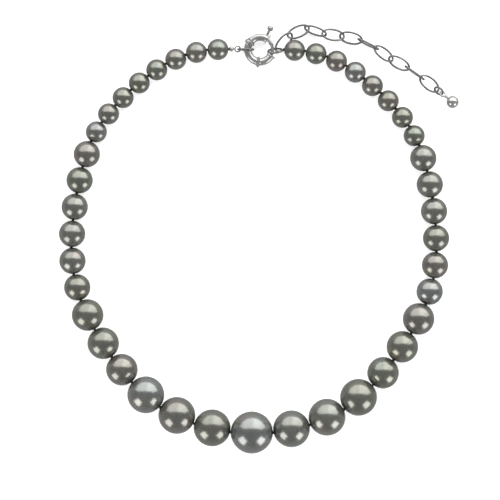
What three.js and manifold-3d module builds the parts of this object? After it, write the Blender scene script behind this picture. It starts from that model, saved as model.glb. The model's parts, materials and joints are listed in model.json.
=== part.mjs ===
// A graduated, knotted pearl necklace with a large spring-ring clasp and an extender chain,
// laid out closed on a table.
// Millimetres. +Z up, +Y from the front pearl to the clasp. Left and right are those of
// someone looking down on the necklace with the clasp at the far side, so +X is to the right.
// The origin is the point where the front pearl rests on the table.
import * as THREE from 'three';
import Module from 'manifold-3d';
import { mergeVertices } from 'three/addons/utils/BufferGeometryUtils.js';

const wasm = await Module();
wasm.setup();

// ---- driving dimensions -------------------------------------------------------------------

// Pearl diameters on one side, from the front pearl (number 21) to the clasp.
const PEARL_RUNS = [[16, 1], [14, 3], [12, 3], [10, 6], [8, 8]];
const KNOT_GAP = 0.4;            // room between two pearls, filled by the knot
const PEARL_SIDES = 12;          // facets around the bore
const LATITUDES = { small: [50], large: [40, 64] };   // rings of facets beside the widest band
const LARGE_PEARL = 5.5;         // radius from which a pearl gets the finer rings
const BORE_WAIST = 0.5;          // radius in the middle; the bore opens towards its mouths
const BORE_MOUTH = 0.85;

// Heading of the strand, in degrees, against its length from the front pearl to the clasp.
const STRAND_SHAPE = [[0, 0], [25, 20], [50, 47], [85, 65], [110, 90.5], [145, 106.5],
  [165, 130], [190, 146], [214, 177.5]];

const THREAD_RADIUS = 0.25;
const THREAD_SIDES = 6;
const KNOT_RADIUS = 0.48;
const KNOT_HALF = 0.264;         // unit of the knot's profile along the thread
// The knot's profile: place along the thread in units of KNOT_HALF, and radius.
const KNOT_PROFILE = [[-1.9, THREAD_RADIUS], [-1, 0.36], [0, KNOT_RADIUS], [1, 0.36],
  [1.9, THREAD_RADIUS]];

// The clasp. Places of the metalwork are measured from the middle of the gap between the two
// end pearls; angles are in degrees, about the clasp's centre from +X.
const CLASP_PLACE = new THREE.Vector3(1.5, 0.3, 2.65);
const CLASP_RADIUS = 4.75;       // centre line of the tube
const TUBE_RADIUS = 1.45;
const CHANNEL_RADIUS = 0.85;
const BOLT_RADIUS = 0.62;
const MOUTH_ANGLE = 52;          // where the bolt leaves the tube
const CATCH_ANGLE = 332;         // where its tip goes back in
const LEVER_ANGLE = 65;
const BOLT_TAIL = 75;
const BOLT_TIP = -38;
const BOLT_TRAVEL = 60;
const SPRING_END = 180;
const SPRING_TURNS = 10;
const SPRING_SIDES = 7;          // points to one turn
const SPRING_COIL = 0.5;
const SPRING_WIRE = 0.12;
const SLOT_HALF = 0.64;          // half height of the lever's slot
const SLOT_NEAR = 4.4;           // wall left between the tube's mouth and the slot
const SLOT_FAR = 6;              // room behind the open lever
const TUBE_SIDES = 12;
const TUBE_STEP = 9;             // degrees between the tube's rings
// [angle, radius] of the raised parts on the tube, and the plain stretches between them.
const MOUTH_COLLAR = [[52, 1.7], [52.8, 2], [54.8, 2], [55.6, TUBE_RADIUS]];
const BACK_COLLAR = [[140.5, TUBE_RADIUS], [141.5, 1.95], [152.5, 1.95], [153.5, TUBE_RADIUS]];
const FRONT_RIB = [[256, TUBE_RADIUS], [258, 1.8], [261, 2.3], [263, 2.3], [266, 1.8], [268, TUBE_RADIUS]];
const CATCH_COLLAR = [[324, TUBE_RADIUS], [325, 1.7], [331, 1.7], [332, 1.5]];
const PLAIN_STRETCHES = [[60, 137], [158, 250], [276, 318]];
// [distance from the clasp's centre, radius] of the thumb lever and its knob.
const LEVER_PROFILE = [[4.75, 0], [4.75, 0.5], [7.6, 0.5], [8.0, 0.68], [8.4, 1.08], [9.2, 1.15],
  [9.7, 0.95], [10, 0.5], [10, 0]];

// The bead tip: a cup over the end knot, and its hook.
const CUP_RADIUS = 0.85;
const CUP_WALL = 0.27;
const CUP_HOLE = 0.36;
const CUP_STANDOFF = 1.15;       // pearl's surface to the cup's centre
const CUP_SAG = 0.3;             // the cup's centre lies this far below the pearl's
const HOOK_RADIUS = 1.1;
const HOOK_WIRE = 0.3;
const HOOK_AT = 2.55;            // cup's centre to the hook's centre
const BEAD_TIP_AIM = [2, -19, 0];

// Jump rings and links are ovals of round wire; half sizes are on the wire's centre line. An
// aim is heading, climb and roll.
const WIRE_RADIUS = 0.42;
const LEFT_RING = { place: [-4.05, 0.2, 2.65], half: [2.95, 2.2], aim: [0, 0, 90] };
const RIGHT_RING = { place: [7.25, -0.15, 2.9], half: [2.75, 1.75], aim: [4, 12, -60] };
const LINK_WIRE = 0.45;          // extender links
const LINK_LENGTH = 4.3;         // half of a link's length, on its centre line
const LINK_WIDTH = 2.3;          // half of its width
const LINK_PITCH = 7.1;
// Extender links from the clasp outward: heading, roll, and height of the joint at the far end.
const EXTENDER_START = new THREE.Vector3(8.3, 0.45, 2.1);
const EXTENDER = [[50, 36, 2.0], [24, -24, 2.1], [-18, 58, 3.1], [-6, -24, 1.7], [-12, 30, 2.3],
  [-27, 86, 3.3], [-34, -32, 1.8], [-28, 36, 2.6], [-35, 92, 3.0], [-36, -16, 1.7]];

// The drop: a round ring, and a ball on an eye.
const DROP_HEADING = -38;
const DROP_RING_RADIUS = 1.75;
const DROP_RING_HEIGHT = 2.2;
const DROP_RING_LAP = 0.7;       // the ring's near side lies this far inside the last joint
const DROP_RING_ROLL = 56;
const EYE_RADIUS = 1.05;
const EYE_WIRE = 0.33;
const EYE_AHEAD = 0.1;           // the eye's centre lies this far beyond the ring's far side
const BALL_RADIUS = 2.35;
const BALL_AT = 5;               // eye's centre to ball's centre
const BALL_ROLL = -30;
// [distance from the eye's centre, radius] of the neck and the seat under the ball.
const NECK_PROFILE = [[1.1, 0], [1.1, 0.4], [2.1, 0.4], [2.35, 0.75], [2.7, 0.85]];
const BALL_LATITUDES = [128.5, 107, 85.5, 64, 42.5, 21];

// ---- materials ----------------------------------------------------------------------------

const nacre = (dark) => new THREE.MeshStandardMaterial({
  color: new THREE.Color(0.3, 0.31, 0.29).multiplyScalar(dark), roughness: 0.22, metalness: 0.35 });
const metal = (grey) => new THREE.MeshStandardMaterial({
  color: new THREE.Color(grey, grey, grey), roughness: 0.14, metalness: 1 });
const silk = new THREE.MeshStandardMaterial({ color: 0x1b1b19, roughness: 0.9, metalness: 0 });

// ---- helpers ------------------------------------------------------------------------------

const necklace = new THREE.Group();
const rad = THREE.MathUtils.degToRad;

function addMesh(name, geometry, material) {
  const mesh = new THREE.Mesh(geometry, material);
  mesh.name = name;
  necklace.add(mesh);
  return mesh;
}

// Joins rings of points into one closed skin. A closed path meets its own start; an open one is capped.
function loft(rings, closedPath) {
  const sides = rings[0].length;
  const position = rings.flat().flatMap((p) => [p.x, p.y, p.z]);
  const index = [];
  const spans = closedPath ? rings.length : rings.length - 1;
  for (let i = 0; i < spans; i += 1) {
    const a = i * sides;
    const b = ((i + 1) % rings.length) * sides;
    for (let j = 0; j < sides; j += 1) {
      const k = (j + 1) % sides;
      index.push(a + j, a + k, b + k, a + j, b + k, b + j);
    }
  }
  if (!closedPath) {
    const last = (rings.length - 1) * sides;
    for (let j = 1; j < sides - 1; j += 1) {
      index.push(0, j + 1, j, last, last + j, last + j + 1);
    }
  }
  const geometry = new THREE.BufferGeometry();
  geometry.setAttribute('position', new THREE.Float32BufferAttribute(position, 3));
  geometry.setIndex(index);
  return geometry;
}

// A ring of points round a centre, in the plane of two unit vectors.
function circle(centre, across, up, radius, sides) {
  return Array.from({ length: sides }, (_, j) => {
    const angle = (2 * Math.PI * (j + 0.5)) / sides;
    return centre.clone()
      .addScaledVector(across, radius * Math.cos(angle))
      .addScaledVector(up, radius * Math.sin(angle));
  });
}

// A round bar along points, with a radius for each; the frame is carried along without twist.
function bar(points, radii, sides) {
  let across = null;
  const rings = points.map((point, i) => {
    const before = points[Math.max(i - 1, 0)];
    const after = points[Math.min(i + 1, points.length - 1)];
    const along = after.clone().sub(before).normalize();
    const guide = across ?? new THREE.Vector3().crossVectors(along, new THREE.Vector3(0.1, 0.2, 1));
    across = guide.clone().addScaledVector(along, -guide.dot(along)).normalize();
    const up = new THREE.Vector3().crossVectors(along, across);
    return circle(point, across, up, radii[i], sides);
  });
  return loft(rings, false);
}

// A closed oval of round wire in the XY plane, long along X.
function oval(halfLength, halfWidth, wire, steps, sides) {
  const rings = Array.from({ length: steps }, (_, i) => {
    const t = (2 * Math.PI * i) / steps;
    const centre = new THREE.Vector3(halfLength * Math.cos(t), halfWidth * Math.sin(t), 0);
    const along = new THREE.Vector3(-halfLength * Math.sin(t), halfWidth * Math.cos(t), 0).normalize();
    const across = new THREE.Vector3(along.y, -along.x, 0);
    return circle(centre, new THREE.Vector3(0, 0, 1), across, wire, sides);
  });
  return loft(rings, true);
}

// A bar bent round the Z axis at the clasp's radius, through [angle, radius] stations.
function arcBar(stations, sides) {
  const rings = stations.map(([angle, radius]) => {
    const out = new THREE.Vector3(Math.cos(rad(angle)), Math.sin(rad(angle)), 0);
    const centre = out.clone().multiplyScalar(CLASP_RADIUS);
    return circle(centre, new THREE.Vector3(0, 0, 1), out, radius, sides);
  });
  return loft(rings, false);
}

// Stations of one radius, evenly spaced.
function evenStations(from, to, radius, step) {
  const count = Math.max(1, Math.round(Math.abs(to - from) / step));
  return Array.from({ length: count + 1 }, (_, i) => [from + ((to - from) * i) / count, radius]);
}

// A lathed body whose profile is [distance along the axis, radius], turned to lie along X.
function turned(profile, sides) {
  const points = profile.map(([along, radius]) => new THREE.Vector2(radius, along));
  const geometry = new THREE.LatheGeometry(points, sides, Math.PI / sides);
  return geometry.rotateZ(-Math.PI / 2);
}

// three.js geometry to a solid that can be added and cut, and back.
function toSolid(geometry) {
  const bare = geometry.clone();
  bare.deleteAttribute('normal');
  bare.deleteAttribute('uv');
  const merged = mergeVertices(bare, 1e-4);
  return new wasm.Manifold(new wasm.Mesh({
    numProp: 3,
    vertProperties: Float32Array.from(merged.attributes.position.array),
    triVerts: Uint32Array.from(merged.index.array),
  }));
}

function toGeometry(solid) {
  const mesh = solid.getMesh();
  const geometry = new THREE.BufferGeometry();
  geometry.setAttribute('position', new THREE.BufferAttribute(Float32Array.from(mesh.vertProperties), 3));
  geometry.setIndex(Array.from(mesh.triVerts));
  return geometry;
}

// Turns a piece whose length is along X to a heading, a climb and a roll.
function aim(mesh, heading, climb, roll) {
  mesh.rotation.set(rad(roll), rad(-climb), rad(heading), 'ZYX');
}

// A unit vector on the table.
function level(heading) {
  return new THREE.Vector3(Math.cos(rad(heading)), Math.sin(rad(heading)), 0);
}

const degreesUp = (rise, run) => THREE.MathUtils.radToDeg(Math.atan2(rise, run));

// ---- the strand ---------------------------------------------------------------------------

function headingAt(length) {
  const i = STRAND_SHAPE.findIndex(([at]) => at >= length);
  const [l1, h1] = STRAND_SHAPE[i - 1];
  const [l2, h2] = STRAND_SHAPE[i];
  return THREE.MathUtils.lerp(h1, h2, (length - l1) / (l2 - l1));
}

// Centres, radii and knots of one side, as rigid pearls that bend only at their knots.
function layOutSide() {
  const radii = PEARL_RUNS.flatMap(([diameter, count]) => Array(count).fill(diameter / 2));
  const pearls = [{ centre: new THREE.Vector3(0, 0, radii[0]), radius: radii[0], heading: 0 }];
  const knots = [];
  let length = 0;
  for (let k = 1; k < radii.length; k += 1) {
    const near = radii[k - 1] + KNOT_GAP / 2;
    const far = radii[k] + KNOT_GAP / 2;
    const drop = (radii[k - 1] - radii[k]) / (near + far);
    const plan = Math.sqrt(1 - drop * drop);
    const last = pearls[k - 1];
    const knot = last.centre.clone().addScaledVector(level(last.heading), near * plan);
    knot.z -= near * drop;
    length += (near + far) * plan;
    const heading = headingAt(length);
    const centre = knot.clone().addScaledVector(level(heading), far * plan);
    centre.z = radii[k];
    knots.push(knot);
    pearls.push({ centre, radius: radii[k], heading });
  }
  return { pearls, knots };
}

function mirrored(point) {
  return new THREE.Vector3(-point.x, point.y, point.z);
}

// A drilled ball. Its widest band is tangent to the true sphere, so it rests on a flat facet.
function pearlGeometry(radius) {
  const ring = (latitude) => [radius * Math.sin(rad(latitude)), radius * Math.cos(rad(latitude))];
  const band = rad(180 / PEARL_SIDES);
  const half = [
    [radius * Math.tan(band), radius / Math.cos(band)],
    ...LATITUDES[radius > LARGE_PEARL ? 'large' : 'small'].map(ring),
    [Math.sqrt(radius ** 2 - BORE_MOUTH ** 2), BORE_MOUTH],
  ];
  const other = half.map(([along, r]) => [-along, r]).reverse();
  return turned([...other, ...half, [0, BORE_WAIST], other[0]], PEARL_SIDES);
}

const { pearls: side, knots: sideKnots } = layOutSide();
const reach = side[side.length - 1];
const gapMiddle = new THREE.Vector3(0, reach.centre.y, 0);
const claspCentre = CLASP_PLACE.clone().add(gapMiddle);
const outward = level(reach.heading);
const endKnot = reach.centre.clone().addScaledVector(outward, reach.radius + KNOT_GAP / 2);

// How far a pearl's bore tilts, from the knots on its two sides.
function climbOf(k) {
  if (k === 0) {
    return 0;
  }
  const before = sideKnots[k - 1];
  const after = sideKnots[k] ?? endKnot;
  return degreesUp(after.z - before.z, Math.hypot(after.x - before.x, after.y - before.y));
}

const pad = (n) => String(n).padStart(2, '0');
const frontNumber = side.length;
for (let number = 1; number < 2 * frontNumber; number += 1) {
  const k = Math.abs(number - frontNumber);
  const { centre, radius, heading } = side[k];
  const isLeft = number < frontNumber;
  const pearl = addMesh(`pearl_${pad(number)}`, pearlGeometry(radius), nacre(0.9 + 0.02 * (number % 6)));
  pearl.position.copy(isLeft ? mirrored(centre) : centre);
  aim(pearl, isLeft ? 180 - heading : heading, climbOf(k), 0);
}

// One silk through every bore, with a knot between each two pearls and one at each end.
function threadGeometry(stations, pearlCentres) {
  const points = [];
  const radii = [];
  stations.forEach((at, i) => {
    const before = stations[Math.max(i - 1, 0)];
    const after = stations[Math.min(i + 1, stations.length - 1)];
    const along = after.clone().sub(before).normalize();
    for (const [shift, radius] of KNOT_PROFILE) {
      points.push(at.clone().addScaledVector(along, shift * KNOT_HALF));
      radii.push(radius);
    }
    if (i < stations.length - 1) {
      points.push(pearlCentres[i]);
      radii.push(THREAD_RADIUS);
    }
  });
  return bar(points, radii, THREAD_SIDES);
}

// ---- left end: bead tip and connector ring ------------------------------------------------

// A hollow cup with a hole towards the pearl, a short shank and a closed hook.
function beadTipGeometry() {
  const inner = CUP_RADIUS - CUP_WALL;
  const arc = (radius, from, to, count) => Array.from({ length: count + 1 }, (_, i) => {
    const angle = rad(from + ((to - from) * i) / count);
    return [-radius * Math.cos(angle), radius * Math.sin(angle)];
  });
  const lip = THREE.MathUtils.radToDeg(Math.asin(CUP_HOLE / inner));   // half angle of the hole
  const profile = [...arc(inner, lip, 180, 5).reverse(), ...arc(CUP_RADIUS, lip, 180, 6)];
  profile[0][1] = 0;
  profile[profile.length - 1][1] = 0;
  const cup = toSolid(turned(profile, 10));
  const hook = toSolid(oval(HOOK_RADIUS, HOOK_RADIUS, HOOK_WIRE, 14, 6).translate(HOOK_AT, 0, 0));
  const shankEnds = [CUP_RADIUS - CUP_WALL / 2, HOOK_AT - HOOK_RADIUS];
  const shankPoints = shankEnds.map((x) => new THREE.Vector3(x, 0, 0));
  const shank = toSolid(bar(shankPoints, [HOOK_WIRE, HOOK_WIRE], 8));
  return toGeometry(cup.add(shank).add(hook));
}

const cupCentre = mirrored(reach.centre)
  .addScaledVector(mirrored(outward), reach.radius + CUP_STANDOFF);
cupCentre.z -= CUP_SAG;
const beadTip = addMesh('left_bead_tip', beadTipGeometry(), metal(0.72));
beadTip.position.copy(cupCentre);
aim(beadTip, ...BEAD_TIP_AIM);

// A connector ring between the strand and the clasp.
function addRing(name, { place, half, aim: angles }) {
  const ring = addMesh(name, oval(...half, WIRE_RADIUS, 20, 7), metal(0.74));
  ring.position.set(...place).add(gapMiddle);
  aim(ring, ...angles);
}

addRing('left_connector_ring', LEFT_RING);

// ---- the clasp ----------------------------------------------------------------------------

// The C-shaped case: collars, a raised rib, a channel for bolt and spring, a slot for the lever.
function claspTubeGeometry() {
  const [afterMouth, afterBack, afterRib] = PLAIN_STRETCHES
    .map(([from, to]) => evenStations(from, to, TUBE_RADIUS, TUBE_STEP));
  const outer = [...MOUTH_COLLAR, ...afterMouth, ...BACK_COLLAR, ...afterBack, ...FRONT_RIB,
    ...afterRib, ...CATCH_COLLAR];
  const bore = (from, to) => toSolid(arcBar(evenStations(from, to, CHANNEL_RADIUS, TUBE_STEP), 10));
  const channel = bore(MOUTH_ANGLE - 4, SPRING_END + 3);
  const pocket = bore(CATCH_ANGLE - 16, CATCH_ANGLE + 4);
  const tube = toSolid(arcBar(outer, TUBE_SIDES));
  return toGeometry(tube.subtract(channel).subtract(pocket).subtract(slot()));
}

// The lever's slot, a flat sector through the outer wall.
function slot() {
  const from = rad(MOUTH_ANGLE + SLOT_NEAR);
  const to = rad(LEVER_ANGLE + BOLT_TRAVEL + SLOT_FAR);
  const shape = new THREE.Shape();
  shape.absarc(0, 0, CLASP_RADIUS + TUBE_RADIUS + 1, from, to, false);
  shape.absarc(0, 0, CLASP_RADIUS + 0.1, to, from, true);
  const options = { depth: 2 * SLOT_HALF, bevelEnabled: false, curveSegments: 9 };
  return toSolid(new THREE.ExtrudeGeometry(shape, options).translate(0, 0, -SLOT_HALF));
}

// The bolt, with its lever and thumb knob in one piece.
function boltGeometry() {
  const tip = [BOLT_TIP - 1, BOLT_RADIUS * 0.6];
  const rod = arcBar([tip, ...evenStations(BOLT_TIP + 3, BOLT_TAIL, BOLT_RADIUS, 8)], 9);
  const lever = turned(LEVER_PROFILE, 10).rotateZ(rad(LEVER_ANGLE));
  return toGeometry(toSolid(rod).add(toSolid(lever)));
}

// The spring, coiled along the channel between the bolt's tail and the channel's end.
function springGeometry() {
  const steps = SPRING_TURNS * SPRING_SIDES;
  const points = Array.from({ length: steps + 1 }, (_, i) => {
    const angle = THREE.MathUtils.lerp(BOLT_TAIL + 3, SPRING_END, i / steps);
    const phase = (2 * Math.PI * i) / SPRING_SIDES;
    const point = level(angle).multiplyScalar(CLASP_RADIUS + SPRING_COIL * Math.cos(phase));
    point.z = SPRING_COIL * Math.sin(phase);
    return point;
  });
  return bar(points, points.map(() => SPRING_WIRE), 4);
}

addMesh('clasp_tube', claspTubeGeometry(), metal(0.76)).position.copy(claspCentre);
addMesh('clasp_bolt', boltGeometry(), metal(0.66)).position.copy(claspCentre);
addMesh('clasp_spring', springGeometry(), metal(0.5)).position.copy(claspCentre);

// ---- right end: connector ring, extender and drop -----------------------------------------

addRing('right_connector_ring', RIGHT_RING);

// Each link is held between two joints; the next link or the drop ring hangs on the far one.
const joints = [EXTENDER_START.clone().add(gapMiddle)];
EXTENDER.forEach(([heading, roll, height], i) => {
  const from = joints[i];
  const rise = height - from.z;
  const run = Math.sqrt(LINK_PITCH ** 2 - rise ** 2);
  const to = from.clone().addScaledVector(level(heading), run);
  to.z = height;
  const geometry = oval(LINK_LENGTH, LINK_WIDTH, LINK_WIRE, 18, 6);
  const link = addMesh(`extender_link_${pad(i + 1)}`, geometry, metal(0.68 + 0.01 * (i % 4)));
  link.position.copy(from).lerp(to, 0.5);
  aim(link, heading, degreesUp(rise, run), roll);
  joints.push(to);
});

const dropWay = level(DROP_HEADING);
const ringWire = oval(DROP_RING_RADIUS, DROP_RING_RADIUS, WIRE_RADIUS, 16, 6);
const dropRing = addMesh('drop_ring', ringWire, metal(0.7));
dropRing.position.copy(joints[joints.length - 1])
  .addScaledVector(dropWay, DROP_RING_RADIUS - DROP_RING_LAP)
  .setZ(DROP_RING_HEIGHT);
aim(dropRing, DROP_HEADING, 0, DROP_RING_ROLL);

// The end ball, in one piece with its neck and eye.
function ballGeometry() {
  const eye = toSolid(oval(EYE_RADIUS, EYE_RADIUS, EYE_WIRE, 14, 6));
  const around = BALL_LATITUDES.map((latitude) => [
    BALL_AT + BALL_RADIUS * Math.cos(rad(latitude)), BALL_RADIUS * Math.sin(rad(latitude))]);
  const profile = [...NECK_PROFILE, ...around, [BALL_AT + BALL_RADIUS, 0]];
  return toGeometry(eye.add(toSolid(turned(profile, 12))));
}

const ball = addMesh('drop_ball', ballGeometry(), metal(0.78));
ball.position.copy(dropRing.position)
  .addScaledVector(dropWay, DROP_RING_RADIUS + EYE_AHEAD)
  .setZ(BALL_RADIUS);
aim(ball, DROP_HEADING, 0, BALL_ROLL);

// ---- the silk, last, because it reaches from the bead tip to the right connector ring ------

const strandKnots = [cupCentre, ...sideKnots.map(mirrored).reverse(), ...sideKnots, endKnot];
const strandCentres = [...side.map((pearl) => mirrored(pearl.centre)).reverse(),
  ...side.slice(1).map((pearl) => pearl.centre)];
addMesh('silk_thread', threadGeometry(strandKnots, strandCentres), silk);

export default necklace;
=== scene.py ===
"""The look model of a graduated pearl necklace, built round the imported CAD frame.

Lengths inside the shape functions are millimetres; make_piece() turns them into metres.
"""

import json
import math
import random

import bpy
import numpy as np
from mathutils import Matrix, Vector, noise

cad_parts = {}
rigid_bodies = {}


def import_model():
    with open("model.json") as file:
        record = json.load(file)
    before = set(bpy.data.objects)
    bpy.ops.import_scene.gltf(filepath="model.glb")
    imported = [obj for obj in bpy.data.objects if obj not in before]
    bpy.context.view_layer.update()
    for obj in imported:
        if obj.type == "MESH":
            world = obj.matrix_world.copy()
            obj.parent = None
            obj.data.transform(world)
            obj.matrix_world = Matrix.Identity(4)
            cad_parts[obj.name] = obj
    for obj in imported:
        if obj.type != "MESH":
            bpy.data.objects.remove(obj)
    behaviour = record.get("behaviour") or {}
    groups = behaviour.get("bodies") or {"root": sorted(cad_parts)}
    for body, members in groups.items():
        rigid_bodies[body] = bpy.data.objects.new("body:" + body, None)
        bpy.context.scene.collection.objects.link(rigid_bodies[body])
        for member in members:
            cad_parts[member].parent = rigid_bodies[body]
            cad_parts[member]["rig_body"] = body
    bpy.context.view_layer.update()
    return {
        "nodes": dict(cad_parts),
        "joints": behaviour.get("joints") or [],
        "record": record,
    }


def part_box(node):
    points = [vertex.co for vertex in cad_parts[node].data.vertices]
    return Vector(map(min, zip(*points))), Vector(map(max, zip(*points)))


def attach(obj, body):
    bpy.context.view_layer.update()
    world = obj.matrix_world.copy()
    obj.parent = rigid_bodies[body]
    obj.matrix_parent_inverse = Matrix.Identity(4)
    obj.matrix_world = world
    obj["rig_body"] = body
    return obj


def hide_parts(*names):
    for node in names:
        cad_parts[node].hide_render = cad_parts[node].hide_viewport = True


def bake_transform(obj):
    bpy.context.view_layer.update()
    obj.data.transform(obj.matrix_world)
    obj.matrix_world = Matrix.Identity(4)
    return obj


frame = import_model()

MM = 0.001
X, Y, Z = Vector((1, 0, 0)), Vector((0, 1, 0)), Vector((0, 0, 1))
JOINTS = {joint["name"]: joint for joint in frame["joints"]}
SLOT_OF = {part["node"]: part["material_slot"] for part in frame["record"]["subparts"]}

# ---- materials ----------------------------------------------------------------------------


class Nodes:
    """A small helper for building one node material."""

    def __init__(self, name):
        self.material = bpy.data.materials.new(name)
        self.material.use_nodes = True
        self.tree = self.material.node_tree
        self.shader = self.tree.nodes["Principled BSDF"]

    def add(self, kind, **settings):
        node = self.tree.nodes.new(kind)
        for key, value in settings.items():
            if key in node.inputs:
                node.inputs[key].default_value = value
            else:
                setattr(node, key, value)
        return node

    def link(self, source, target):
        self.tree.links.new(source, target)

    def constant(self, **values):
        for key, value in values.items():
            self.shader.inputs[key.replace("_", " ")].default_value = value

    def noise(self, scale, detail=3.0, roughness=0.5, distortion=0.0, stretch=None, shift=(0, 0, 0)):
        """Noise over the object's own coordinates; scale counts features per metre."""
        coordinates = self.add("ShaderNodeTexCoord").outputs["Object"]
        mapping = self.add("ShaderNodeMapping")
        mapping.inputs["Scale"].default_value = stretch or (1, 1, 1)
        mapping.inputs["Location"].default_value = shift
        self.link(coordinates, mapping.inputs["Vector"])
        texture = self.add(
            "ShaderNodeTexNoise", Scale=scale, Detail=detail, Roughness=roughness, Distortion=distortion
        )
        self.link(mapping.outputs["Vector"], texture.inputs["Vector"])
        return texture.outputs["Fac"]

    def ramp(self, factor, stops):
        node = self.add("ShaderNodeValToRGB")
        elements = node.color_ramp.elements
        while len(elements) < len(stops):
            elements.new(0.5)
        for element, (place, colour) in zip(elements, stops):
            element.position = place
            element.color = (*colour, 1) if len(colour) == 3 else colour
        self.link(factor, node.inputs["Fac"])
        return node.outputs["Color"]

    def mix(self, factor, a, b, kind="MIX"):
        node = self.add("ShaderNodeMix", data_type="RGBA", blend_type=kind)
        for socket, value in ((node.inputs[0], factor), (node.inputs[6], a), (node.inputs[7], b)):
            if isinstance(value, bpy.types.NodeSocket):
                self.link(value, socket)
            elif isinstance(value, float):
                socket.default_value = value
            else:
                socket.default_value = (*value, 1)
        return node.outputs[2]

    def spread(self, factor, low, high):
        """Maps a 0 to 1 value to a range."""
        node = self.add("ShaderNodeMapRange")
        node.inputs["To Min"].default_value = low
        node.inputs["To Max"].default_value = high
        self.link(factor, node.inputs["Value"])
        return node.outputs["Result"]

    def bump(self, height, strength, distance):
        node = self.add("ShaderNodeBump", Strength=strength, Distance=distance)
        self.link(height, node.inputs["Height"])
        self.link(node.outputs["Normal"], self.shader.inputs["Normal"])


def shade(colour, factor):
    return tuple(channel * factor for channel in colour)


NACRE_TINTS = {
    "nacre_green": (0.180, 0.186, 0.158),
    "nacre_silver": (0.196, 0.198, 0.178),
    "nacre_rose": (0.196, 0.188, 0.170),
    "nacre_blue": (0.212, 0.220, 0.214),
}
GREEN_ORIENT = (0.168, 0.195, 0.168)
PINK_ORIENT = (0.228, 0.186, 0.178)
GOLD_ORIENT = (0.225, 0.208, 0.148)


def nacre(slot, variant):
    """Lustrous dark nacre: a cloudy body colour, patches of orient, and growth rings."""
    n = Nodes(f"{slot}_{variant}")
    tint = NACRE_TINTS[slot]
    drift = 0.013 * (variant + 1)
    clouds = n.noise(170, detail=4, roughness=0.55, shift=(drift, 0, drift))
    body = n.ramp(clouds, [(0.3, shade(tint, 0.86)), (0.7, shade(tint, 1.12))])
    patches = n.noise(120, detail=1.5, distortion=0.6, shift=(0, drift, drift))
    orient = n.ramp(
        patches,
        [(0.36, GREEN_ORIENT), (0.45, tint), (0.55, tint), (0.62, PINK_ORIENT), (0.74, GOLD_ORIENT)],
    )
    strength = n.spread(n.noise(210, detail=1, shift=(drift, drift, 0)), 0.05, 0.6)
    colour = n.mix(strength, body, orient)
    n.link(colour, n.shader.inputs["Base Color"])
    fine = n.noise(900, detail=5, roughness=0.6)
    n.link(n.spread(fine, 0.2, 0.27), n.shader.inputs["Roughness"])
    rings = n.noise(520, detail=2, stretch=(1, 0.12, 0.12))
    relief = n.mix(0.35, rings, fine)
    n.bump(relief, 0.07, 0.00004)
    n.constant(Metallic=0.82, IOR=1.6, Coat_Weight=0.12, Coat_Roughness=0.08, Coat_IOR=1.5)
    return n.material


def metal(name, low, high, rough, scratch):
    """Polished plate with faint clouding and fine handling marks."""
    n = Nodes(name)
    clouds = n.noise(700, detail=4)
    n.link(n.ramp(clouds, [(0.35, low), (0.65, high)]), n.shader.inputs["Base Color"])
    marks = n.noise(2600, detail=4, roughness=0.65, stretch=(1, 0.25, 1))
    n.link(n.spread(marks, *rough), n.shader.inputs["Roughness"])
    n.bump(n.mix(0.5, marks, clouds), scratch, 0.00003)
    n.constant(Metallic=0.75, IOR=1.5)
    return n.material


def silk():
    """Twisted dark thread: fibres along the ply and a soft sheen."""
    n = Nodes("silk")
    fibres = n.noise(6000, detail=3, stretch=(0.2, 1, 1))
    colour = n.ramp(fibres, [(0.3, (0.006, 0.006, 0.005)), (0.8, (0.03, 0.029, 0.026))])
    n.link(colour, n.shader.inputs["Base Color"])
    n.link(n.spread(fibres, 0.6, 0.85), n.shader.inputs["Roughness"])
    n.bump(fibres, 0.4, 0.00005)
    n.constant(Sheen_Weight=0.25, Sheen_Roughness=0.4)
    return n.material


VARIANTS = 3
MATERIALS = {
    (slot, variant): nacre(slot, variant) for slot in NACRE_TINTS for variant in range(VARIANTS)
}
RHODIUM = metal("rhodium", (0.29, 0.29, 0.285), (0.36, 0.36, 0.35), (0.16, 0.28), 0.12)
# Painted shade: the rings' and links' wire is the same rhodium plate given a darker colour, so the thin wire
# looks shaded.
RHODIUM_WIRE_PAINTED_SHADE = metal("rhodium_wire_painted_shade", (0.13, 0.13, 0.127), (0.19, 0.19, 0.185), (0.2, 0.32), 0.12)
RHODIUM_BALL = metal("rhodium_ball", (0.33, 0.33, 0.325), (0.42, 0.42, 0.41), (0.1, 0.18), 0.08)
SPRING_STEEL = metal("spring_steel", (0.24, 0.24, 0.24), (0.34, 0.34, 0.34), (0.22, 0.36), 0.15)
SILK = silk()

# ---- shape helpers: each returns (vertices, faces) ----------------------------------------


def grid_faces(rows, sides, closed, offset=0):
    faces = []
    for i in range(rows if closed else rows - 1):
        a, b = offset + i * sides, offset + ((i + 1) % rows) * sides
        for j in range(sides):
            k = (j + 1) % sides
            faces.append((a + j, a + k, b + k, b + j))
    return faces


def ring(centre, across, up, radius, sides):
    return [
        centre + across * (radius * math.cos(t)) + up * (radius * math.sin(t))
        for t in (2 * math.pi * j / sides for j in range(sides))
    ]


def tube(points, radii, sides, closed=False):
    """Round wire along points. An open one is capped at both ends."""
    count = len(points)
    verts, across = [], None
    for i, point in enumerate(points):
        before = points[(i - 1) % count] if closed or i > 0 else point
        after = points[(i + 1) % count] if closed or i < count - 1 else point
        along = (after - before).normalized()
        guide = across or along.orthogonal()
        across = (guide - along * guide.dot(along)).normalized()
        verts += ring(point, across, along.cross(across), radii[i], sides)
    faces = grid_faces(count, sides, closed)
    if not closed:
        faces.append(tuple(reversed(range(sides))))
        faces.append(tuple(range((count - 1) * sides, count * sides)))
    return verts, faces


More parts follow.
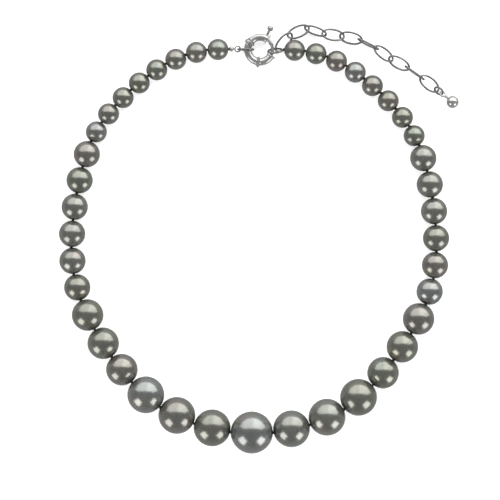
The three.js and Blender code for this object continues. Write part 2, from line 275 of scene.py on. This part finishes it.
def lathe(profile, sides):
    """A closed turned body; profile is [(place along X, radius)], from axis to axis."""
    verts = [Vector((profile[0][0], 0, 0))]
    for along, radius in profile[1:-1]:
        verts += ring(Vector((along, 0, 0)), Y, Z, radius, sides)
    verts.append(Vector((profile[-1][0], 0, 0)))
    rows = len(profile) - 2
    faces = [(0, 1 + (j + 1) % sides, 1 + j) for j in range(sides)]
    faces += grid_faces(rows, sides, False, 1)
    last = 1 + (rows - 1) * sides
    faces += [(last + j, last + (j + 1) % sides, len(verts) - 1) for j in range(sides)]
    return verts, faces


def join(*shapes):
    verts, faces = [], []
    for shape_verts, shape_faces in shapes:
        offset = len(verts)
        verts += shape_verts
        faces += [tuple(offset + i for i in face) for face in shape_faces]
    return verts, faces


def placed(shape, matrix):
    return [matrix @ v for v in shape[0]], shape[1]


def make_piece(name, shape, place, material, body, slot, *replaced, smooth_angle=40):
    """One visible piece. Its origin is at place (a matrix in metres), and it rides on the body."""
    verts, faces = shape
    mesh = bpy.data.meshes.new(name)
    mesh.from_pydata([v * MM for v in verts], [], faces)
    mesh.validate()
    mesh.materials.append(material)
    mesh.polygons.foreach_set("use_smooth", [True] * len(mesh.polygons))
    mesh.set_sharp_from_angle(angle=math.radians(smooth_angle))
    piece = bpy.data.objects.new(name, mesh)
    bpy.context.scene.collection.objects.link(piece)
    piece.matrix_world = place
    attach(piece, body)
    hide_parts(*replaced)
    return piece


# ---- reading the frame --------------------------------------------------------------------


def corners(node):
    """A CAD node's distinct vertices, in millimetres."""
    points = np.array([v.co for v in frame["nodes"][node].data.vertices], float) / MM
    return np.unique(points.round(4), axis=0)


def principal(points):
    """Middle of a point set's extent and its own axes, longest first, as a right-handed set."""
    _, vectors = np.linalg.eigh(np.cov(points.T))
    axes = vectors[:, ::-1].T
    axes[2] = np.cross(axes[0], axes[1])
    spans = points @ axes.T
    middle = (spans.min(0) + spans.max(0)) / 2 @ axes
    return Vector(middle), [Vector(axis) for axis in axes], spans


def matrix_of(origin, x_axis, y_axis):
    """A matrix in metres, from an origin in millimetres and two axes."""
    x_axis = x_axis.normalized()
    y_axis = (y_axis - x_axis * y_axis.dot(x_axis)).normalized()
    turn = Matrix((x_axis, y_axis, x_axis.cross(y_axis))).transposed().to_4x4()
    return Matrix.Translation(origin * MM) @ turn


def centre_of(node):
    low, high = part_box(node)
    return (low + high) / (2 * MM)


def body_name(node):
    return next(b for b, nodes in frame["record"]["behaviour"]["bodies"].items() if node in nodes)


# ---- pearls, silk and knots ---------------------------------------------------------------

PEARLS = 41
FRONT = 21
PEARL_SIDES = 64
PEARL_SWELL = 0.07      # the smooth pearl stands this far proud of the faceted one
HOLE_RADIUS = 0.76
HOLE_LIP = 1.04
HOLE_DEPTH = 1.6
RIPPLE = 0.006          # share of the radius
KNOT_COIL = (0.42, 0.5)     # coil radius of even knots, which lift, and of odd ones, which turn
KNOT_TURNS = 3
KNOT_STEPS = 42
KNOT_PLY = 0.2
KNOT_RISE = 0.22
RUN_PLY = 0.14
PLY_OFFSET = 0.12       # a ply's distance from the thread's middle
PLY_PITCH = 2.2         # length of one full twist


KNOTS = {
    name: Vector(joint["pos_m"]) / MM for name, joint in JOINTS.items() if name.startswith("knot_")
}


def knot_of(number, outward):
    """Centre of the knot on one side of a pearl; outward is away from the front pearl."""
    k = abs(number - FRONT)
    side = "left" if number < FRONT else "right"
    if k == 0:
        return KNOTS["knot_right_01"] if outward else KNOTS["knot_left_01"]
    if outward and k == FRONT - 1:
        centre = centre_of(f"pearl_{number:02d}")
        return centre * 2 - KNOTS[f"knot_{side}_{k:02d}"]
    return KNOTS[f"knot_{side}_{k + outward:02d}"]


def pearl_shape(radius, seed):
    """A drilled pearl with softly uneven skin. Its bore is along X."""
    lip = math.asin(HOLE_LIP / radius)
    steps = 38
    arc = [lip + (math.pi - 2 * lip) * i / steps for i in range(steps + 1)]
    profile = [(-radius * math.cos(t), radius * math.sin(t)) for t in arc]
    edge = profile[0][0]
    mouth = [
        (edge + HOLE_DEPTH, 0),
        (edge + HOLE_DEPTH, HOLE_RADIUS * 0.8),
        (edge + 0.35, HOLE_RADIUS),
        (edge + 0.08, HOLE_RADIUS + 0.04),
    ]
    other = [(-x, r) for x, r in reversed(mouth)]
    verts, faces = lathe(mouth + profile + other, PEARL_SIDES)
    shift = Vector((seed * 7.3, seed * 3.1, seed * 5.7))
    shaped = []
    for v in verts:
        if v.length > radius * 0.97:
            broad = noise.noise(v / (radius * 1.5) + shift)
            fine = noise.noise(v / (radius * 0.55) + shift)
            v = v * (1 + RIPPLE * (broad + 0.35 * fine))
        shaped.append(v)
    return shaped, faces


def silk_shape(start, end, knot_at, knot_way, coil):
    """Two twisted plies from start to end through the bore, and one knot, in frame millimetres."""
    along = end - start
    across = along.orthogonal().normalized()
    up = along.normalized().cross(across)
    steps = max(10, round(along.length * 3))
    shapes = []
    for ply in range(2):
        points = []
        for i in range(steps + 1):
            turn = math.pi * ply + 2 * math.pi * along.length / PLY_PITCH * i / steps
            aside = across * (PLY_OFFSET * math.cos(turn))
            points.append(start + along * (i / steps) + aside + up * (PLY_OFFSET * math.sin(turn)))
        shapes.append(tube(points, [RUN_PLY] * len(points), 6))
    way = knot_way.normalized()
    across = way.orthogonal().normalized()
    up = way.cross(across)
    points = []
    for i in range(KNOT_STEPS + 1):
        t = i / KNOT_STEPS
        angle = 2 * math.pi * KNOT_TURNS * t
        spread = coil * (0.62 + 0.38 * math.sin(math.pi * t))
        aside = across * (spread * math.cos(angle))
        points.append(knot_at + way * (KNOT_RISE * (t - 0.5)) + aside + up * (spread * math.sin(angle)))
    shapes.append(tube(points, [KNOT_PLY] * len(points), 7))
    return join(*shapes)


random.seed(41)
for number in range(1, PEARLS + 1):
    node = f"pearl_{number:02d}"
    centre = centre_of(node)
    radius = centre.z + PEARL_SWELL
    inward, outward = knot_of(number, False), knot_of(number, True)
    bore = matrix_of(centre, outward - inward, Z)
    bore = bore @ Matrix.Rotation(random.uniform(0, 2 * math.pi), 4, "X")
    slot = SLOT_OF[node]
    material = MATERIALS[slot, number % VARIANTS]
    make_piece(f"nacre_{node}", pearl_shape(radius, number), bore, material, node, slot, node)

    coil = KNOT_COIL[(abs(number - FRONT) + 1) % 2]
    thread = silk_shape(inward, outward, outward, outward - inward, coil)
    if number == FRONT:
        stub_end = inward + (outward - inward) * 0.2
        thread = join(thread, silk_shape(inward, stub_end, inward, inward - outward, coil))
    origin = matrix_of(centre, outward - inward, Z)
    local = origin.inverted()
    thread = [local @ (v * MM) / MM for v in thread[0]], thread[1]
    make_piece(f"silk_{number:02d}", thread, origin, SILK, node, "silk", "silk_thread")

# ---- rings and links ----------------------------------------------------------------------


def oval_points(half_length, half_width, steps, start=0.0, sweep=2 * math.pi):
    closed = abs(sweep - 2 * math.pi) < 1e-6
    count = steps if closed else steps + 1
    return [
        Vector((half_length * math.cos(t), half_width * math.sin(t), 0))
        for t in (start + sweep * i / steps for i in range(count))
    ]


def soldered_oval(half_length, half_width, wire, steps=84, sides=16):
    """Closed wire with a faint soldered seam in the middle of one long side."""
    points = oval_points(half_length, half_width, steps)
    radii = []
    for point in points:
        away = abs(point.x) if point.y > 0 else half_length
        fillet = 0.07 * math.exp(-((away / 0.28) ** 2))
        seam = 0.09 * math.exp(-((away / 0.07) ** 2))
        radii.append(wire * (1 + fillet - seam))
    return tube(points, radii, sides, closed=True)


def split_oval(half_length, half_width, wire, steps=80, sides=16):
    """Wire bent round until its cut ends almost meet, as a jump ring is."""
    gap = 0.05 / max(half_length, half_width)
    points = oval_points(half_length, half_width, steps, 0.6 + gap, 2 * math.pi - 2 * gap)
    radii = [wire] * len(points)
    radii[0] = radii[-1] = wire * 0.9
    return tube(points, radii, sides)


def wire_piece(node, wire, maker):
    """Rebuilds an oval of wire from the CAD node's own place and size."""
    middle, axes, spans = principal(corners(node))
    half = (spans.max(0) - spans.min(0)) / 2 - wire
    place = matrix_of(middle, axes[0], axes[1])
    shape = maker(half[0], half[1], wire)
    # The wire takes the darker rhodium copy, whose darkness is painted shade.
    make_piece(f"{node}_wire", shape, place, RHODIUM_WIRE_PAINTED_SHADE, body_name(node), "rhodium", node)


JUMP_WIRE = 0.4
LINK_WIRE = 0.4
for node in ("left_connector_ring", "right_connector_ring", "drop_ring"):
    wire_piece(node, JUMP_WIRE, split_oval)
for number in range(1, 11):
    wire_piece(f"extender_link_{number:02d}", LINK_WIRE, soldered_oval)

# ---- bead tip -----------------------------------------------------------------------------

CUP_RADIUS = 0.85
CUP_SWELL = 1.2         # the visible cup against CUP_RADIUS
HOOK_RADIUS = 1.1
HOOK_WIRE = 0.3
HOOK_AT = CUP_RADIUS + HOOK_RADIUS + 0.6
TIP_LENGTH = HOOK_AT + HOOK_RADIUS + HOOK_WIRE


def shell_cup(radius, side):
    """Half of a clam cup, a thin bowl that opens towards -Z times side."""
    rows, sides = 9, 28
    turns = [math.pi / 2 * i / rows for i in range(rows + 1)]
    outer = [(radius * math.sin(t), radius * math.cos(t)) for t in turns]
    inner = [(r * 0.8, z * 0.8) for r, z in reversed(outer)]
    loop = outer + inner
    verts = []
    for r, z in loop:
        verts += ring(Vector((0, 0, side * (z + 0.03))), X, Y * side, max(r, 0.02), sides)
    faces = grid_faces(len(loop), sides, False)
    faces.append(tuple(reversed(range(sides))))
    faces.append(tuple(range((len(loop) - 1) * sides, len(loop) * sides)))
    return verts, faces


def bead_tip_shape():
    hook = [
        Vector((HOOK_AT + HOOK_RADIUS * math.cos(t), HOOK_RADIUS * math.sin(t), 0))
        for t in (math.pi + 2 * math.pi * 0.985 * i / 56 for i in range(57))
    ]
    shank_at = (CUP_RADIUS - 0.15, CUP_RADIUS + 0.1, HOOK_AT - HOOK_RADIUS - 0.1)
    shank = [Vector((x, 0, 0)) for x in shank_at]
    lobe = [Vector((CUP_RADIUS * CUP_SWELL + 0.02, 0, z)) for z in (-0.36, 0, 0.36)]
    return join(
        shell_cup(CUP_RADIUS * CUP_SWELL, 1),
        shell_cup(CUP_RADIUS * CUP_SWELL, -1),
        tube(shank + hook, [0.26] * 3 + [HOOK_WIRE] * len(hook), 14),
        tube(lobe, [0.2] * 3, 12),
    )


def long_axis(node, away_from):
    """Longest axis of a CAD node, pointing away from a point."""
    points = corners(node)
    middle, axes, _ = principal(points)
    axis = axes[0] if axes[0].dot(middle - away_from) > 0 else -axes[0]
    return points, axis, middle


points, axis, middle = long_axis("left_bead_tip", centre_of("pearl_01"))
tip_end = (points @ np.array(axis)).max()
origin = middle + axis * (tip_end - TIP_LENGTH - middle.dot(axis))
tip_place = matrix_of(origin, axis, Y)
make_piece("bead_tip_shell", bead_tip_shape(), tip_place, RHODIUM, "pearl_01", "rhodium", "left_bead_tip")

# ---- clasp --------------------------------------------------------------------------------

CLASP_CENTRE = Vector(JOINTS["bolt_slide"]["pos_m"]) / MM
CLASP_RADIUS = 4.75
CASE_RADIUS = 1.45
CHANNEL_RADIUS = 0.85
BOLT_RADIUS = 0.76
BOLT_TIP_RADIUS = 0.6
MOUTH_ANGLE = 52
CATCH_ANGLE = 332
LEVER_ANGLE = 65
BOLT_TAIL = 75
BOLT_TIP = -38
BOLT_TRAVEL = 60
WIDEN_FROM = 14         # where the bolt starts to thicken toward its tail, and over how many degrees
WIDEN_OVER = 10
SPRING_START = BOLT_TAIL + 2
SPRING_END = 180
CASE_SIDES = 40
SLOT_FROM = MOUTH_ANGLE + 5
SLOT_TO = LEVER_ANGLE + BOLT_TRAVEL + 6
# Raised bands round the case: (angle, half width in degrees, added radius, how square it is).
CASE_BANDS = [
    (MOUTH_ANGLE + 2, 2.4, 0.55, 6),
    (147, 6.6, 0.55, 8),
    (137, 1.4, 0.25, 4),
    (262, 4.6, 0.9, 1.6),
    (CATCH_ANGLE - 3.5, 3.2, 0.28, 8),
]


def case_radius(angle):
    extra = 0.0
    for middle_angle, half, height, square in CASE_BANDS:
        extra = max(extra, height * math.exp(-(abs((angle - middle_angle) / half) ** square)))
    return CASE_RADIUS + extra


def arc_ring(angle, radius, sides):
    out = Vector((math.cos(math.radians(angle)), math.sin(math.radians(angle)), 0))
    return ring(out * CLASP_RADIUS, out, Z, radius, sides)


def case_shape():
    """The C-shaped case: skin, channel from the mouth, pocket at the catch, and the lever's slot."""
    outer = list(range(MOUTH_ANGLE, CATCH_ANGLE + 1))
    pocket_depth, channel_end = 16, SPRING_END + 2
    rows = [(CATCH_ANGLE - pocket_depth, CHANNEL_RADIUS)]
    rows += [(CATCH_ANGLE - a, CHANNEL_RADIUS) for a in range(pocket_depth - 2, 0, -2)]
    rows += [(CATCH_ANGLE + 0.4, CHANNEL_RADIUS + 0.1), (CATCH_ANGLE + 0.5, 1.25), (CATCH_ANGLE + 0.2, 1.5)]
    rows += [(a, case_radius(a)) for a in reversed(outer)]
    first_outer = len(rows) - len(outer)
    rows += [(MOUTH_ANGLE - 0.3, 1.75), (MOUTH_ANGLE - 0.4, 1.3), (MOUTH_ANGLE - 0.1, CHANNEL_RADIUS + 0.05)]
    first_inner = len(rows)
    inner = list(range(MOUTH_ANGLE + 1, channel_end + 1))
    rows += [(a, CHANNEL_RADIUS) for a in inner]
    verts = []
    for angle, radius in rows:
        verts += arc_ring(angle, radius, CASE_SIDES)
    # Side 0 looks outward from the clasp's centre, so the slot takes the faces next to it.
    slot_sides = (CASE_SIDES - 3, CASE_SIDES - 2, CASE_SIDES - 1, 0, 1, 2)
    outer_row = {a: first_outer + len(outer) - 1 - i for i, a in enumerate(outer)}
    inner_row = {a: first_inner + i for i, a in enumerate(inner)}
    open_rows = {outer_row[a + 1] for a in range(SLOT_FROM, SLOT_TO)}
    open_rows |= {inner_row[a] for a in range(SLOT_FROM, SLOT_TO)}
    faces = []
    for i in range(len(rows) - 1):
        for j in range(CASE_SIDES):
            if i in open_rows and j in slot_sides:
                continue
            k = (j + 1) % CASE_SIDES
            a, b = i * CASE_SIDES, (i + 1) * CASE_SIDES
            faces.append((a + j, b + j, b + k, a + k))
    low, high = slot_sides[0], (slot_sides[-1] + 1) % CASE_SIDES

    def at(row, side):
        return row * CASE_SIDES + side

    for a in range(SLOT_FROM, SLOT_TO):
        o1, o2, n1, n2 = outer_row[a], outer_row[a + 1], inner_row[a], inner_row[a + 1]
        faces.append((at(o1, high), at(o2, high), at(n2, high), at(n1, high)))
        faces.append((at(o2, low), at(o1, low), at(n1, low), at(n2, low)))
    for a, flip in ((SLOT_FROM, False), (SLOT_TO, True)):
        for j in slot_sides:
            k = (j + 1) % CASE_SIDES
            face = (at(outer_row[a], j), at(outer_row[a], k), at(inner_row[a], k), at(inner_row[a], j))
            faces.append(tuple(reversed(face)) if flip else face)
    faces.append(tuple(range(CASE_SIDES)))
    faces.append(tuple(reversed(range((len(rows) - 1) * CASE_SIDES, len(rows) * CASE_SIDES))))
    return verts, faces


def arc_points(start, end, radius, step):
    count = max(2, round(abs(end - start) / step))
    return [
        Vector((radius * math.cos(math.radians(a)), radius * math.sin(math.radians(a)), 0))
        for a in (start + (end - start) * i / count for i in range(count + 1))
    ]


def bolt_shape():
    """The sliding bolt with a rounded tip, and its lever with a milled thumb knob."""
    rod = arc_points(BOLT_TIP, BOLT_TAIL, CLASP_RADIUS, 2)
    angles = [BOLT_TIP + (BOLT_TAIL - BOLT_TIP) * i / (len(rod) - 1) for i in range(len(rod))]
    widening = [min(max((angle - WIDEN_FROM) / WIDEN_OVER, 0), 1) for angle in angles]
    radii = [BOLT_TIP_RADIUS + (BOLT_RADIUS - BOLT_TIP_RADIUS) * t * t * (3 - 2 * t) for t in widening]
    radii[0], radii[1], radii[-1] = 0.28, 0.5, BOLT_RADIUS * 0.9
    stem = [(CLASP_RADIUS, 0), (CLASP_RADIUS, 0.38), (6.3, 0.38), (6.55, 0.5), (7.3, 0.5), (7.8, 0.5)]
    knob = [(8.1, 0.62), (8.28, 0.95), (8.4, 1.14), (8.75, 1.2), (8.85, 1.04), (9.0, 1.04), (9.1, 1.2)]
    knob_end = [(9.35, 1.16), (9.65, 1.0), (9.85, 0.74), (9.98, 0.38), (10.02, 0)]
    lever = placed(lathe(stem + knob + knob_end, 28), Matrix.Rotation(math.radians(LEVER_ANGLE), 4, "Z"))
    return join(tube(rod, radii, 24), lever)


def spring_shape():
    turns, per_turn, coil, wire = 12, 14, 0.5, 0.12
    points = []
    for i in range(turns * per_turn + 1):
        angle = math.radians(SPRING_START + (SPRING_END - SPRING_START) * i / (turns * per_turn))
        phase = 2 * math.pi * i / per_turn
        reach = CLASP_RADIUS + coil * math.cos(phase)
        points.append(Vector((reach * math.cos(angle), reach * math.sin(angle), coil * math.sin(phase))))
    return tube(points, [wire] * len(points), 8)


clasp_place = Matrix.Translation(CLASP_CENTRE * MM)
make_piece("clasp_case_shell", case_shape(), clasp_place, RHODIUM, "clasp_case", "rhodium", "clasp_tube")
make_piece("clasp_bolt_lever", bolt_shape(), clasp_place, RHODIUM, "clasp_bolt", "rhodium", "clasp_bolt")

spring = make_piece(
    "clasp_coil_spring",
    spring_shape(),
    clasp_place,
    SPRING_STEEL,
    "clasp_case",
    "spring_steel",
    "clasp_spring",
)
spring.parent = None
spring.matrix_world = clasp_place
del spring["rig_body"]
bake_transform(spring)

# ---- end ball -----------------------------------------------------------------------------

BALL_RADIUS = 2.35
BALL_AT = 5.0
EYE_RADIUS = 1.05
EYE_WIRE = 0.33


def ball_shape():
    eye = tube(oval_points(EYE_RADIUS, EYE_RADIUS, 48), [EYE_WIRE] * 48, 14, closed=True)
    wraps = []
    for i in range(64):
        t = i / 63
        angle = 2 * math.pi * 3 * t
        wraps.append(Vector((1.35 + 0.85 * t, 0.42 * math.cos(angle), 0.42 * math.sin(angle))))
    rows = 26
    first = math.radians(160)
    profile = [(1.1, 0), (1.1, 0.3), (2.45, 0.3), (2.5, 0.62), (2.62, 0.78), (2.74, 0.8)]
    profile += [
        (BALL_AT + BALL_RADIUS * math.cos(t), BALL_RADIUS * math.sin(t))
        for t in (first * (1 - i / rows) for i in range(rows))
    ]
    profile.append((BALL_AT + BALL_RADIUS, 0))
    return join(eye, tube(wraps, [0.2] * len(wraps), 8), lathe(profile, 40))


points, axis, middle = long_axis("drop_ball", centre_of("drop_ring"))
reach = points @ np.array(axis)
origin = middle + axis * (reach.max() - BALL_AT - BALL_RADIUS - middle.dot(axis))
eye_points = points[reach < origin.dot(axis) + 0.3]
_, eye_axes, _ = principal(eye_points)
ball_place = matrix_of(origin, axis, eye_axes[2].cross(axis))
make_piece("end_ball", ball_shape(), ball_place, RHODIUM_BALL, "drop_ball", "rhodium", "drop_ball")

# ---- stage --------------------------------------------------------------------------------


def lowest_point():
    """Height of the lowest vertex of every visible piece, in metres."""
    stand_ins = set(frame["nodes"].values())
    pieces = [o for o in bpy.context.scene.objects if o.type == "MESH" and o not in stand_ins]
    return min((o.matrix_world @ v.co).z for o in pieces for v in o.data.vertices)


def sweep():
    """A seamless pale floor that curves up into a wall all round, kept out of the reflections."""
    flat = [(0.3, 0), (0.8, 0), (1.6, 0), (2.6, 0)]
    rising = [(3.2, 0.04), (3.7, 0.2), (4.1, 0.5), (4.35, 0.9), (4.5, 1.5), (4.5, 5)]
    profile = flat + rising
    verts = [Vector((0, 0, 0))]
    for reach, rise in profile:
        verts += ring(Vector((0, 0, rise)), X, Y, reach, FLOOR_SIDES)
    faces = [(0, 1 + j, 1 + (j + 1) % FLOOR_SIDES) for j in range(FLOOR_SIDES)]
    faces += [tuple(reversed(face)) for face in grid_faces(len(profile), FLOOR_SIDES, False, 1)]
    mesh = bpy.data.meshes.new("floor")
    mesh.from_pydata(verts, [], faces)
    mesh.polygons.foreach_set("use_smooth", [True] * len(mesh.polygons))
    floor = bpy.data.objects.new("floor", mesh)
    bpy.context.scene.collection.objects.link(floor)
    floor.location = (MIDDLE.x, MIDDLE.y, lowest_point())
    floor.visible_glossy = False
    n = Nodes("floor")
    surface = n.noise(4, detail=2)
    n.link(n.ramp(surface, [(0.3, FLOOR_LOW), (0.7, FLOOR_HIGH)]), n.shader.inputs["Base Color"])
    n.constant(Roughness=0.9, Emission_Color=(1, 1, 1, 1), Emission_Strength=FLOOR_GLOW)
    mesh.materials.append(n.material)


def softbox(name, location, target, width, height, radiance):
    data = bpy.data.lights.new(name, "AREA")
    data.shape = "RECTANGLE"
    data.size, data.size_y = width, height
    data.energy = radiance * math.pi * width * height
    lamp = bpy.data.objects.new(name, data)
    bpy.context.scene.collection.objects.link(lamp)
    lamp.location = location
    lamp.rotation_mode = "QUATERNION"
    lamp.rotation_quaternion = (Vector(target) - Vector(location)).to_track_quat("-Z", "Y")
    lamp.visible_camera = False
    return lamp


FLOOR_SIDES = 48
FLOOR_LOW = (0.74, 0.74, 0.74)
FLOOR_HIGH = (0.77, 0.77, 0.77)
FLOOR_GLOW = 0.4
MIDDLE = Vector((0, 0.07, 0.005))
WALL = 0.8
# The window beyond the clasp, as upright panes: left edge, right edge, bottom, brightness.
PANES = [
    (-1.75, -0.95, 0.36, 2.2),
    (-0.95, -0.45, 0.14, 2.45),
    (-0.45, 0.10, 0.05, 2.45),
    (0.10, 0.90, 0.04, 3.5),
    (0.90, 2.30, 0.12, 2.9),
]
PANE_TOP = 1.75
# The two umbrellas before the front pearl: across, up, brightness.
UMBRELLAS = [(-0.58, 0.30, 4.0), (0.61, 0.30, 4.2)]
UMBRELLA_AWAY = 0.58
UMBRELLA_WIDTH = 0.48
UMBRELLA_HEIGHT = 0.58
sweep()
for i, (left, right, bottom, brightness) in enumerate(PANES):
    across, up = (left + right) / 2, (bottom + PANE_TOP) / 2
    place, target = (across, MIDDLE.y + WALL, up), (across, MIDDLE.y, up)
    softbox(f"pane_{i}", place, target, right - left, PANE_TOP - bottom, brightness)
for i, (across, up, brightness) in enumerate(UMBRELLAS):
    place = (across, MIDDLE.y - UMBRELLA_AWAY, up)
    softbox(f"umbrella_{i}", place, MIDDLE, UMBRELLA_WIDTH, UMBRELLA_HEIGHT, brightness)
overhead = softbox("overhead", (0, MIDDLE.y, 1.6), MIDDLE, 1.6, 1.6, 0.8)
overhead.visible_glossy = False


def room():
    """Dim walls and ceiling above, a lighter table below, and a glow along the window's sill."""
    world = bpy.data.worlds.new("room")
    bpy.context.scene.world = world
    world.use_nodes = True
    nodes, links = world.node_tree.nodes, world.node_tree.links

    def band(value, low, high, start, end):
        node = nodes.new("ShaderNodeMapRange")
        node.interpolation_type = "SMOOTHSTEP"
        for name, number in (("From Min", low), ("From Max", high), ("To Min", start), ("To Max", end)):
            node.inputs[name].default_value = number
        links.new(value, node.inputs["Value"])
        return node.outputs["Result"]

    def math_node(operation, a, b):
        node = nodes.new("ShaderNodeMath")
        node.operation = operation
        links.new(a, node.inputs[0])
        links.new(b, node.inputs[1])
        return node.outputs[0]

    way = nodes.new("ShaderNodeSeparateXYZ")
    links.new(nodes.new("ShaderNodeTexCoord").outputs["Generated"], way.inputs[0])
    base = band(way.outputs["Z"], -0.15, 0.35, TABLE_LIGHT, CEILING_LIGHT)
    rise = band(way.outputs["Z"], -0.75, 0.0, 0.0, SILL_LIGHT)
    sill = math_node("MULTIPLY", rise, band(way.outputs["Y"], 0.3, 0.9, 0.0, 1.0))
    below = math_node("MULTIPLY", sill, band(way.outputs["Z"], 0.0, 0.4, 1.0, 0.0))
    links.new(math_node("ADD", base, below), nodes["Background"].inputs["Strength"])
    nodes["Background"].inputs["Color"].default_value = (0.98, 0.99, 1.0, 1)


TABLE_LIGHT = 0.50
CEILING_LIGHT = 0.26
SILL_LIGHT = 0.45
room()

AIM = (-0.0015, 0.0698, 0.005)      # the camera looks straight down on this point
CAMERA_HEIGHT = 1.0
CAMERA_ROLL = 0.68
FIELD = 0.1919          # width of the view at the camera's distance, in metres
SENSOR = 36
camera_data = bpy.data.cameras.new("camera")
camera_data.sensor_width = SENSOR
camera_data.lens = SENSOR * CAMERA_HEIGHT / FIELD
camera = bpy.data.objects.new("camera", camera_data)
bpy.context.scene.collection.objects.link(camera)
camera.location = (AIM[0], AIM[1], AIM[2] + CAMERA_HEIGHT)
camera.rotation_euler = (0, 0, math.radians(CAMERA_ROLL))
camera_data.clip_start, camera_data.clip_end = 0.05, 20
bpy.context.scene.camera = camera
bpy.context.scene.view_settings.view_transform = "Standard"
